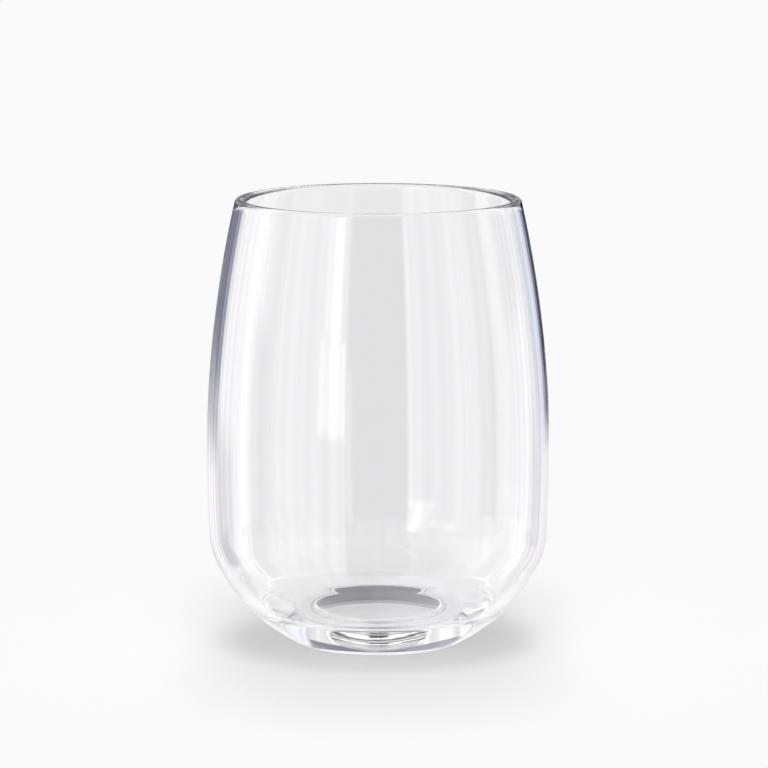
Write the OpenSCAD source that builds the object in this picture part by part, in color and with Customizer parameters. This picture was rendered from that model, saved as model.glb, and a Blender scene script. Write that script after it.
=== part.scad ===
// Stemless wine glass: one clear vessel, turned round the Z axis.
// Millimetres. The origin is on the table, under the middle of the base.
// The outline is made of arcs that run smoothly into each other, with +X outwards and +Y up.

/* [Bowl] */
// Height from the table to the top of the rim
bowl_h = 115.5; // [106:0.5:124]
// Outside diameter at the widest point
belly_d = 89; // [85:0.5:95]
// Height of the widest point above the table
belly_z = 46.5; // [42:0.5:52]
// Outside diameter that the side has at the rim's height
rim_d = 73.4; // [68:0.2:79]
// Thickness of the wall
wall_t = 2.7; // [1.8:0.1:3.4]

/* [Base] */
// Height at which the side turns in towards the foot
turn_z = 28.2; // [26:0.1:32]
// Outside radius of that turn
turn_r = 20; // [17:0.5:24]
// Radius of the curve that runs from the turn to the foot
sole_r = 45.5; // [42:0.5:60]
// Outside diameter of the foot, where the glass meets the table
foot_d = 42.8; // [38:0.2:46]
// Height of the hollow's flat floor above the table
floor_z = 10; // [8:0.1:12]
// Radius of the corner between the hollow's side and its floor
corner_r = 4; // [2:0.5:8]

/* [Recess] */
// Diameter of the recess under the base, where it meets the foot
recess_d = 35.2; // [30:0.2:37]
// Height of the recess, from the table to its flat roof
recess_h = 4.5; // [2:0.1:5.5]
// How far the side of the recess leans in between the foot and the roof
recess_lean = 0.5; // [0.2:0.1:3]

/* [Hidden] */
$fn = 180;

belly_r = belly_d / 2;
foot_r = foot_d / 2;
recess_r = recess_d / 2;

// Steps in each arc of the outline
side_steps = 14;
turn_steps = 8;
sole_steps = 8;
lip_steps = 8;
hollow_sole_steps = 4;
corner_steps = 4;

// A point at a distance and an angle from another point
function polar(centre, radius, angle) = centre + radius * [cos(angle), sin(angle)];

// The direction from one point to another
function heading(from, to) = atan2(to[1] - from[1], to[0] - from[0]);

// Radius of an arc that bows out by this height over this half width
function cap_radius(half_width, height) = (half_width ^ 2 + height ^ 2) / (2 * height);

// Points along an arc, without its first one, which the stretch before it ends on
function arc(centre, radius, from, to, steps) =
    [for (i = [1 : steps]) polar(centre, radius, from + (to - from) * i / steps)];

// Side: one large arc, upright at the belly, that passes through the rim's diameter
side_r = cap_radius(bowl_h - belly_z, belly_r - rim_d / 2);
side_c = [belly_r - side_r, belly_z];
turn_a = asin((turn_z - belly_z) / side_r);

// Turn: a smaller arc that touches the side's arc at turn_z
turn_c = polar(side_c, side_r - turn_r, turn_a);

// Sole: an arc that the turn touches from inside and that ends at the foot's edge.
// Its centre is sole_r from that edge and sole_r - turn_r from the turn's centre.
foot = [foot_r, 0];
foot_gap = norm(foot - turn_c);
foot_a = heading(turn_c, foot);
sole_lead = ((sole_r - turn_r) ^ 2 - sole_r ^ 2 + foot_gap ^ 2) / (2 * foot_gap);
sole_offset = sqrt((sole_r - turn_r) ^ 2 - sole_lead ^ 2);
sole_c = polar(polar(turn_c, sole_lead, foot_a), sole_offset, foot_a - 90);
sole_a = heading(sole_c, turn_c);

// Rim: a half round of the wall's own thickness, square to the side
lip_r = wall_t / 2;
rim_a = asin((bowl_h - lip_r - belly_z) / (side_r - lip_r));
lip_c = polar(side_c, side_r - lip_r, rim_a);

// Hollow: the same arcs moved in by the wall, then a corner that touches the flat floor
hollow_side_r = side_r - wall_t;
hollow_turn_r = turn_r - wall_t;
hollow_sole_r = sole_r - wall_t;
corner_drop = sole_c[1] - floor_z - corner_r;
corner_c = sole_c + [sqrt((hollow_sole_r - corner_r) ^ 2 - corner_drop ^ 2), -corner_drop];
corner_a = heading(sole_c, corner_c);

// Half of the section, from the foot's outer edge round the side, the rim, the hollow and the recess
function section() = concat(
    [foot],
    arc(sole_c, sole_r, heading(sole_c, foot), sole_a, sole_steps),
    arc(turn_c, turn_r, sole_a, turn_a, turn_steps),
    arc(side_c, side_r, turn_a, rim_a, side_steps),
    arc(lip_c, lip_r, rim_a, rim_a + 180, lip_steps),
    arc(side_c, hollow_side_r, rim_a, turn_a, side_steps),
    arc(turn_c, hollow_turn_r, turn_a, sole_a, turn_steps),
    arc(sole_c, hollow_sole_r, sole_a, corner_a, hollow_sole_steps),
    arc(corner_c, corner_r, corner_a, -90, corner_steps),
    [[0, floor_z], [0, recess_h], [recess_r - recess_lean, recess_h], [recess_r, 0]]
);

// Clear vessel: wall, rim, base and foot in one piece of glass
module bowl() {
    color([0.86, 0.9, 0.92, 0.35])
        rotate_extrude()
            polygon(section());
}

bowl();
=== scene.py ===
import math

import bmesh
import bpy
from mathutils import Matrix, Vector, noise


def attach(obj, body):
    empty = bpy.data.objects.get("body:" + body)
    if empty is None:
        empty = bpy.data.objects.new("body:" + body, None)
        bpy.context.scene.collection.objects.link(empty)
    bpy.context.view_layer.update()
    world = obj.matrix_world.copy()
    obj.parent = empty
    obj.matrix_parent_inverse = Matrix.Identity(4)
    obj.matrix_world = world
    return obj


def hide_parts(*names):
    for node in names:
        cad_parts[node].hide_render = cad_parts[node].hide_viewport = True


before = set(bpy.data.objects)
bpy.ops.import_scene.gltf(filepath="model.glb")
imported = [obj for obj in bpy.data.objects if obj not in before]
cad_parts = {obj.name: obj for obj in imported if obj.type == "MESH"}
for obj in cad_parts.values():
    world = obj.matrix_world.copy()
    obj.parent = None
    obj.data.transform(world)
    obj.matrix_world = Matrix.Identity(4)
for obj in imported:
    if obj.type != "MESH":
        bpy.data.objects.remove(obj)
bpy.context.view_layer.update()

MM = 0.001
IMAGE_SIDE = 768

# Sizes of the glass, as in the part's source
BOWL_H = 115.5 * MM
BELLY_R = 44.5 * MM
BELLY_Z = 46.5 * MM
RIM_R = 36.7 * MM
WALL_T = 2.7 * MM
TURN_Z = 28.2 * MM
TURN_R = 20.0 * MM
SOLE_R = 45.5 * MM
FOOT_R = 21.4 * MM
FLOOR_Z = 10.0 * MM
CORNER_R = 4.0 * MM
RECESS_R = 17.6 * MM
RECESS_H = 4.5 * MM
RECESS_LEAN = 0.5 * MM

# How far a corner's rounding reaches along the glass on each side of it
FOOT_ROUND = 0.9 * MM
RECESS_ROUND = 0.7 * MM
ROOF_ROUND = 0.9 * MM

# Mesh steps round the axis, and along the arcs of the outline
TURNS = 288
SIDE_STEPS = 44
TURN_STEPS = 20
SOLE_STEPS = 16
LIP_STEPS = 14
CORNER_STEPS = 12
FLAT_STEPS = 10
ROUND_STEPS = 6

# Camera, fitted to the rim, the sides and the foot in the photograph
CAMERA_AT = (0.0, -1.0, 0.2267)
CAMERA_DOWN = math.radians(9.07)
FOCAL_PX = 3912.0
AXIS_RIGHT_PX = -5.8
SENSOR = 36.0
CLIP_START = 0.01

# Level of the background, the table's tone, and how often light may turn inside the glass
BACKGROUND = 0.956
FLOOR_TONE = 0.93
BOUNCES = 48


def polar(centre, radius, angle):
    return centre + radius * Vector((math.cos(angle), math.sin(angle)))


def heading(start, end):
    return math.atan2(end[1] - start[1], end[0] - start[0])


def arc(centre, radius, start, end, steps):
    """Points along an arc, without its first one, which the stretch before it ends on."""
    return [polar(centre, radius, start + (end - start) * i / steps) for i in range(1, steps + 1)]


def line(start, end, steps):
    return [start.lerp(end, i / steps) for i in range(1, steps + 1)]


def walk_back(path, reach):
    """path without its last stretch of length reach, ending on a point at that distance."""
    path = list(path)
    while (path[-1] - path[-2]).length < reach:
        reach -= (path[-1] - path[-2]).length
        path.pop()
    path[-1] = path[-1] + (path[-2] - path[-1]).normalized() * reach
    return path


def joined(first, second, reach):
    """Two stretches that meet in a corner, with the corner rounded over reach on each side."""
    corner = first[-1]
    first = walk_back(first, reach)
    second = walk_back(list(reversed([corner] + second)), reach)
    second.reverse()
    curve = []
    for i in range(1, ROUND_STEPS):
        t = i / ROUND_STEPS
        curve.append(first[-1].lerp(corner, t).lerp(corner.lerp(second[0], t), t))
    return first + curve + second


def outline():
    """Half of the glass's section: the outside from the recess to the rim's inner edge, and the hollow."""
    side_r = ((BOWL_H - BELLY_Z) ** 2 + (BELLY_R - RIM_R) ** 2) / (2 * (BELLY_R - RIM_R))
    side_c = Vector((BELLY_R - side_r, BELLY_Z))
    turn_a = math.asin((TURN_Z - BELLY_Z) / side_r)
    turn_c = polar(side_c, side_r - TURN_R, turn_a)
    foot = Vector((FOOT_R, 0))
    gap = (foot - turn_c).length
    lead = ((SOLE_R - TURN_R) ** 2 - SOLE_R ** 2 + gap ** 2) / (2 * gap)
    offset = math.sqrt((SOLE_R - TURN_R) ** 2 - lead ** 2)
    foot_a = heading(turn_c, foot)
    sole_c = polar(polar(turn_c, lead, foot_a), offset, foot_a - math.pi / 2)
    sole_a = heading(sole_c, turn_c)
    lip_r = WALL_T / 2
    rim_a = math.asin((BOWL_H - lip_r - BELLY_Z) / (side_r - lip_r))
    lip_c = polar(side_c, side_r - lip_r, rim_a)
    corner_drop = sole_c[1] - FLOOR_Z - CORNER_R
    reach = SOLE_R - WALL_T - CORNER_R
    corner_c = sole_c + Vector((math.sqrt(reach ** 2 - corner_drop ** 2), -corner_drop))
    corner_a = heading(sole_c, corner_c)
    outside = (
        [foot]
        + arc(sole_c, SOLE_R, heading(sole_c, foot), sole_a, SOLE_STEPS)
        + arc(turn_c, TURN_R, sole_a, turn_a, TURN_STEPS)
        + arc(side_c, side_r, turn_a, rim_a, SIDE_STEPS)
        + arc(lip_c, lip_r, rim_a, rim_a + math.pi, LIP_STEPS)
    )
    inside = (
        arc(side_c, side_r - WALL_T, rim_a, turn_a, SIDE_STEPS)
        + arc(turn_c, TURN_R - WALL_T, turn_a, sole_a, TURN_STEPS)
        + arc(sole_c, SOLE_R - WALL_T, sole_a, corner_a, SOLE_STEPS)
        + arc(corner_c, CORNER_R, corner_a, -math.pi / 2, CORNER_STEPS)
        + line(Vector((corner_c[0], FLOOR_Z)), Vector((0, FLOOR_Z)), FLAT_STEPS)
    )
    roof_edge = Vector((RECESS_R - RECESS_LEAN, RECESS_H))
    recess_edge = Vector((RECESS_R, 0))
    roof = [Vector((0, RECESS_H))] + line(Vector((0, RECESS_H)), roof_edge, FLAT_STEPS)
    under = joined(roof, line(roof_edge, recess_edge, 6), ROOF_ROUND)
    under = joined(under, line(recess_edge, foot, 6), RECESS_ROUND)
    ring = joined(under, outside[1:], FOOT_ROUND)
    return ring, inside


# Small waves that pressing and fire-polishing leave in the surfaces: their size outside and in the
# hollow, their number round the glass, their length along its height, and where the hollow's noise starts
OUTER_WAVES = 0.012 * MM
INNER_WAVES = 0.030 * MM
WAVES_ROUND = 1.3
WAVE_LENGTH = 34 * MM
HOLLOW_SHIFT = 7.3


def ripple(point, angle, size, shift):
    """Distance of the waving surface from its even radius."""
    spot = Vector(
        (math.cos(angle) * WAVES_ROUND + shift, math.sin(angle) * WAVES_ROUND, point[1] / WAVE_LENGTH)
    )
    return size * min(point[0] / FOOT_R, 1.0) * noise.noise(spot)


def lathe(name, outside, inside):
    """A closed solid of revolution from half of its section, which starts and ends on the axis."""
    mesh = bmesh.new()
    rings = []
    waves = [(OUTER_WAVES, 0.0)] * len(outside) + [(INNER_WAVES, HOLLOW_SHIFT)] * len(inside)
    for point, (size, shift) in zip(outside + inside, waves):
        if point[0] < 1e-7:
            rings.append([mesh.verts.new((0, 0, point[1]))])
            continue
        ring = []
        for i in range(TURNS):
            angle = 2 * math.pi * i / TURNS
            radius = point[0] + ripple(point, angle, size, shift)
            ring.append(mesh.verts.new((radius * math.cos(angle), radius * math.sin(angle), point[1])))
        rings.append(ring)
    for low, high in zip(rings, rings[1:]):
        for i in range(TURNS):
            j = (i + 1) % TURNS
            if len(low) == 1:
                mesh.faces.new((low[0], high[i], high[j]))
            elif len(high) == 1:
                mesh.faces.new((low[i], high[0], low[j]))
            else:
                mesh.faces.new((low[i], high[i], high[j], low[j]))
    bmesh.ops.recalc_face_normals(mesh, faces=mesh.faces)
    for face in mesh.faces:
        face.smooth = True
    data = bpy.data.meshes.new(name)
    mesh.to_mesh(data)
    mesh.free()
    piece = bpy.data.objects.new(name, data)
    bpy.context.scene.collection.objects.link(piece)
    return piece


def maths(tree, operation, first, second=None):
    """The output of a maths node. An input is a socket or a number."""
    node = tree.nodes.new("ShaderNodeMath")
    node.operation = operation
    for socket, value in zip(node.inputs, (first, second)):
        if isinstance(value, bpy.types.NodeSocket):
            tree.links.new(value, socket)
        elif value is not None:
            socket.default_value = value
    return node.outputs["Value"]


def ramp(tree, value, source, target):
    """value's range source turned smoothly into the range target."""
    node = tree.nodes.new("ShaderNodeMapRange")
    node.interpolation_type = "SMOOTHSTEP"
    tree.links.new(value, node.inputs["Value"])
    for name, number in zip(("From Min", "From Max", "To Min", "To Max"), (*source, *target)):
        node.inputs[name].default_value = number
    return node.outputs["Result"]


def within(tree, value, half_width, softness):
    """1 where value is nearer to 0 than half_width, with an edge that fades over softness."""
    edge = (half_width - softness / 2, half_width + softness / 2)
    return ramp(tree, maths(tree, "ABSOLUTE", value), edge, (1.0, 0.0))


# The glass takes a little light from what passes through it
GLASS_COLOUR = (0.99, 0.988, 0.99)
GLASS_IOR = 1.5

# Small unevenness of the surface
BUMP_SCALE = 70.0
BUMP_DETAIL = 2.0
BUMP_STRENGTH = 0.25
BUMP_DISTANCE = 0.04 * MM

# Roughness of the foot ring, which stands on tables, and the heights between which it ends
WORN_ROUGHNESS = 0.3
WORN_FROM = 0.3 * MM
WORN_TO = 0.9 * MM


def glass_material():
    """Clear glass with a slightly uneven surface and a dulled foot ring."""
    material = bpy.data.materials.new("clear_glass")
    material.use_nodes = True
    nodes, links = material.node_tree.nodes, material.node_tree.links
    shader = nodes["Principled BSDF"]
    shader.inputs["Base Color"].default_value = (*GLASS_COLOUR, 1)
    shader.inputs["Transmission Weight"].default_value = 1.0
    shader.inputs["IOR"].default_value = GLASS_IOR
    place = nodes.new("ShaderNodeTexCoord")
    waves = nodes.new("ShaderNodeTexNoise")
    waves.inputs["Scale"].default_value = BUMP_SCALE
    waves.inputs["Detail"].default_value = BUMP_DETAIL
    bump = nodes.new("ShaderNodeBump")
    bump.inputs["Strength"].default_value = BUMP_STRENGTH
    bump.inputs["Distance"].default_value = BUMP_DISTANCE
    links.new(place.outputs["Object"], waves.inputs["Vector"])
    links.new(waves.outputs["Fac"], bump.inputs["Height"])
    links.new(bump.outputs["Normal"], shader.inputs["Normal"])
    split = nodes.new("ShaderNodeSeparateXYZ")
    links.new(place.outputs["Object"], split.inputs["Vector"])
    worn = ramp(material.node_tree, split.outputs["Z"], (WORN_FROM, WORN_TO), (WORN_ROUGHNESS, 0.0))
    links.new(worn, shader.inputs["Roughness"])
    return material


def blended(tree, factor, first, second, blend="MIX"):
    """The colour that a mix of two colours gives. An input is a socket, a number or a colour."""
    node = tree.nodes.new("ShaderNodeMix")
    node.data_type = "RGBA"
    node.blend_type = blend
    for socket, value in zip((node.inputs[0], node.inputs[6], node.inputs[7]), (factor, first, second)):
        if isinstance(value, bpy.types.NodeSocket):
            tree.links.new(value, socket)
        elif isinstance(value, tuple):
            socket.default_value = (*value, 1.0)
        else:
            socket.default_value = value
    return node.outputs[2]


# Folds of the curtains: how many to a radian, how much they change the light, and the range of the
# noise that makes them
FOLDS = 9.0
FOLD_DEPTH = 0.25
FOLD_RANGE = (0.35, 0.65)

# The backdrop as the glass passes it on, and the wall that it mirrors where no zone lies
THROUGH = (0.884, 0.875, 0.884)
WALL = (0.90, 0.885, 0.90)

# The light that falls on the table, from a long soft box over it, from the sides, and through the glass
# from the camera's side and from the back. The ranges are of a direction's X and Y.
OVERHEAD = 2.25
FROM_SIDES = 0.585
SOFT_BOX_EDGE = (0.1, 0.3)
PASSED_FRONT = 1.3
PASSED_BACK = 2.0
FRONT_TO_BACK = (-0.4, 0.4)

# Zones of the studio, laid over each other in this order: bearings from and to, elevations from and to
# and soft edge in degrees, then the colour of the light from there.
ZONES = [
    # dim ceiling, dim side behind the camera, its paler top and right-hand corner, a strip on the right
    (-180, 180, 48, 100, 10, (0.30, 0.30, 0.31)),
    (157, 203, -40, 48, 3, (0.12, 0.12, 0.13)),
    (157, 203, 26, 48, 6, (0.7, 0.7, 0.71)),
    (128, 157, -40, 48, 16, (0.48, 0.47, 0.49)),
    (84, 97, -60, 2, 4, (0.6, 0.6, 0.61)),
    # curtained window on the left, its brightest panes and a dark post, and slim windows on both sides
    (-157, -42, -60, 42, 3, (1.2, 1.19, 1.21)),
    (-154, -141, 5, 42, 2, (2.9, 2.9, 2.9)),
    (-157, -139, -5, 5, 2, (2.8, 2.8, 2.8)),
    (-138, -112, 20, 34, 3, (2.0, 2.0, 2.0)),
    (-97, -81, -60, 2, 4, (0.36, 0.36, 0.38)),
    (-80, -64, -60, 42, 3, (1.7, 1.7, 1.7)),
    (54, 78, -60, 0, 4, (1.4, 1.4, 1.42)),
    (157, 161, -15, 30, 1.5, (1.2, 1.2, 1.2)),
    # dark far side of the room on the left and on the right, and a bluish stretch beside it
    (-64, -38, -26, -8, 4, (0.55, 0.55, 0.57)),
    (40, 54, -14, -7, 4, (0.55, 0.55, 0.57)),
    (-37, -2, -9.3, 0, 3.0, (0.46, 0.46, 0.51)),
    (-37, -2, -6.8, 2.5, 2.0, (0.20, 0.21, 0.29)),
    (-8, 23, -9.3, 2.5, 1.5, (0.03, 0.035, 0.07)),
    (23, 44, -9.3, 12, 3, (0.78, 0.81, 0.93)),
    # pale ceiling at the back, a high window on each side, the ceiling's dim middle, and the wall under it
    (-80, 80, 50, 88, 6, (1.1, 1.1, 1.12)),
    (-40, -14, 22, 38, 4, (2.6, 2.6, 2.7)),
    (14, 40, 22, 38, 4, (2.6, 2.6, 2.7)),
    (-14, 14, 24, 70, 5, (0.03, 0.03, 0.04)),
    (-13, 13, 6, 24, 3, (0.33, 0.32, 0.36)),
]


def ray_kinds(tree, ray):
    """Two values from the Light Path node ray: 1 for light from the glass, and 1 where it was reflected."""
    from_glass = maths(tree, "MAXIMUM", ray.outputs["Is Glossy Ray"], ray.outputs["Is Transmission Ray"])
    reflected = maths(tree, "GREATER_THAN", ray.outputs["Glossy Depth"], 0.5)
    return from_glass, reflected


def studio_world():
    """The background as the camera sees it, the room that the glass mirrors, and the light on the table."""
    world = bpy.data.worlds.new("studio")
    bpy.context.scene.world = world
    world.use_nodes = True
    tree = world.node_tree
    background = tree.nodes["Background"]
    place = tree.nodes.new("ShaderNodeTexCoord")
    split = tree.nodes.new("ShaderNodeSeparateXYZ")
    tree.links.new(place.outputs["Generated"], split.inputs["Vector"])
    bearing = maths(tree, "ARCTAN2", split.outputs["X"], split.outputs["Y"])
    elevation = maths(tree, "ARCSINE", split.outputs["Z"])
    room = WALL
    for west, east, low, high, soft, colour in ZONES:
        across = maths(tree, "SUBTRACT", bearing, math.radians((west + east) / 2))
        across = maths(tree, "ARCTAN2", maths(tree, "SINE", across), maths(tree, "COSINE", across))
        above = maths(tree, "SUBTRACT", elevation, math.radians((low + high) / 2))
        mask = maths(
            tree,
            "MULTIPLY",
            within(tree, across, math.radians((east - west) / 2), math.radians(soft)),
            within(tree, above, math.radians((high - low) / 2), math.radians(soft)),
        )
        room = blended(tree, mask, room, colour)
    folds = tree.nodes.new("ShaderNodeTexNoise")
    folds.noise_dimensions = "1D"
    folds.inputs["Scale"].default_value = FOLDS
    folds.inputs["Detail"].default_value = 2.0
    tree.links.new(bearing, folds.inputs["W"])
    pleats = ramp(tree, folds.outputs["Fac"], FOLD_RANGE, (1 - FOLD_DEPTH, 1 + FOLD_DEPTH))
    room = blended(tree, 1.0, room, pleats, "MULTIPLY")
    ray = tree.nodes.new("ShaderNodeLightPath")
    from_glass, reflected = ray_kinds(tree, ray)
    seen = blended(tree, reflected, THROUGH, room)
    sideways = maths(tree, "ABSOLUTE", split.outputs["X"])
    table_light = ramp(tree, sideways, SOFT_BOX_EDGE, (OVERHEAD, FROM_SIDES))
    on_table = maths(tree, "GREATER_THAN", ray.outputs["Diffuse Depth"], 0.5)
    passed = ramp(tree, split.outputs["Y"], FRONT_TO_BACK, (PASSED_FRONT, PASSED_BACK))
    seen = blended(tree, on_table, seen, passed)
    plain = blended(tree, ray.outputs["Is Camera Ray"], table_light, (BACKGROUND,) * 3)
    tree.links.new(blended(tree, from_glass, plain, seen), background.inputs["Color"])
    background.inputs["Strength"].default_value = 1.0


# Table top, and the distances from the axis between which it fades into the background
FLOOR_RADIUS = 0.13
FLOOR_SIDES = 128
FLOOR_GAP = 0.05 * MM
FLOOR_ROUGHNESS = 0.9
FADE_RANGE = (0.06, 0.12)

# What the glass shows of the table: painted light, an emission that stands in for a share of the table's
# even light, brightest in a painted ring of light round the foot where the bowl would gather the light that
# falls on it. The ranges are the ring's soft edges.
PAINTED_LIGHT_SHARE = 0.8
PAINTED_LIGHT = 0.90
PAINTED_LIGHT_IN_RING = 1.12
PAINTED_LIGHT_IN_RECESS = 1.0
RING_INSIDE = (0.8 * RECESS_R, FOOT_R)
RING_OUTSIDE = (1.3 * FOOT_R, 2.6 * FOOT_R)

# Distances from the axis between which reflections stop showing the table and show the room
CLEAR_RANGE = (0.045, 0.075)


def studio_floor():
    """A pale round table top that fades into the background away from the glass, and that rays from the
    glass see as painted light.
    """
    bpy.ops.mesh.primitive_circle_add(
        vertices=FLOOR_SIDES, radius=FLOOR_RADIUS, fill_type="NGON", location=(0, 0, -FLOOR_GAP)
    )
    floor = bpy.context.object
    floor.name = "table_top"
    material = bpy.data.materials.new("table_top")
    material.use_nodes = True
    tree = material.node_tree
    shader = tree.nodes["Principled BSDF"]
    shader.inputs["Base Color"].default_value = (FLOOR_TONE, FLOOR_TONE, FLOOR_TONE, 1)
    shader.inputs["Roughness"].default_value = FLOOR_ROUGHNESS
    shader.inputs["Specular IOR Level"].default_value = 0.0
    white = tree.nodes.new("ShaderNodeEmission")
    white.inputs["Strength"].default_value = BACKGROUND
    # painted light: an emission that rays from the glass see on the table in place of its lit surface
    painted_light = tree.nodes.new("ShaderNodeEmission")
    place = tree.nodes.new("ShaderNodeTexCoord")
    far = tree.nodes.new("ShaderNodeVectorMath")
    far.operation = "LENGTH"
    tree.links.new(place.outputs["Object"], far.inputs[0])
    reach = far.outputs["Value"]
    fade = ramp(tree, reach, FADE_RANGE, (0.0, 1.0))
    # painted pool of light: the emission is brighter in a ring round the foot and dimmer further out
    inside = ramp(tree, reach, RING_INSIDE, (PAINTED_LIGHT_IN_RECESS, PAINTED_LIGHT_IN_RING))
    outside = ramp(tree, reach, RING_OUTSIDE, (0.0, PAINTED_LIGHT - PAINTED_LIGHT_IN_RING))
    tree.links.new(maths(tree, "ADD", inside, outside), painted_light.inputs["Strength"])
    ray = tree.nodes.new("ShaderNodeLightPath")
    from_glass, reflected = ray_kinds(tree, ray)
    cleared = maths(tree, "MULTIPLY", reflected, ramp(tree, reach, CLEAR_RANGE, (0.0, 1.0)))
    clear = tree.nodes.new("ShaderNodeBsdfTransparent")
    surface = shader.outputs["BSDF"]
    for share, other in (
        (fade, white.outputs["Emission"]),
        (maths(tree, "MULTIPLY", from_glass, PAINTED_LIGHT_SHARE), painted_light.outputs["Emission"]),
        (cleared, clear.outputs["BSDF"]),
    ):
        mix = tree.nodes.new("ShaderNodeMixShader")
        tree.links.new(share, mix.inputs["Fac"])
        tree.links.new(surface, mix.inputs[1])
        tree.links.new(other, mix.inputs[2])
        surface = mix.outputs["Shader"]
    tree.links.new(surface, tree.nodes["Material Output"].inputs["Surface"])
    floor.data.materials.append(material)


# Soft lamp over the glass
LAMP_AT = (0.0, -0.15, 0.9)
LAMP_SIZE = 0.2
LAMP_POWER = 0.25


def lamp():
    """A soft square lamp that faces the foot of the glass."""
    light = bpy.data.lights.new("overhead", "AREA")
    light.size = LAMP_SIZE
    light.energy = LAMP_POWER
    holder = bpy.data.objects.new("overhead", light)
    holder.location = LAMP_AT
    holder.rotation_euler = (-Vector(LAMP_AT)).to_track_quat("-Z", "Y").to_euler()
    # It stands for a lamp too large and even to show as a spot in the glass
    holder.visible_glossy = False
    holder.visible_transmission = False
    bpy.context.scene.collection.objects.link(holder)


def camera():
    """A camera in the place from which the photograph was taken."""
    data = bpy.data.cameras.new("camera")
    data.sensor_width = SENSOR
    data.lens = SENSOR * FOCAL_PX / IMAGE_SIDE
    data.shift_x = -AXIS_RIGHT_PX / IMAGE_SIDE
    data.clip_start = CLIP_START
    holder = bpy.data.objects.new("camera", data)
    holder.location = CAMERA_AT
    holder.rotation_euler = (math.pi / 2 - CAMERA_DOWN, 0, 0)
    bpy.context.scene.collection.objects.link(holder)
    bpy.context.scene.camera = holder


camera()
studio_world()
studio_floor()
lamp()
glass = lathe("glass_bowl", *outline())
glass.data.materials.append(glass_material())
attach(glass, "root")
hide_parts("bowl")

scene = bpy.context.scene
scene.view_settings.view_transform = "Standard"
scene.cycles.max_bounces = BOUNCES
scene.cycles.glossy_bounces = BOUNCES
scene.cycles.transmission_bounces = BOUNCES
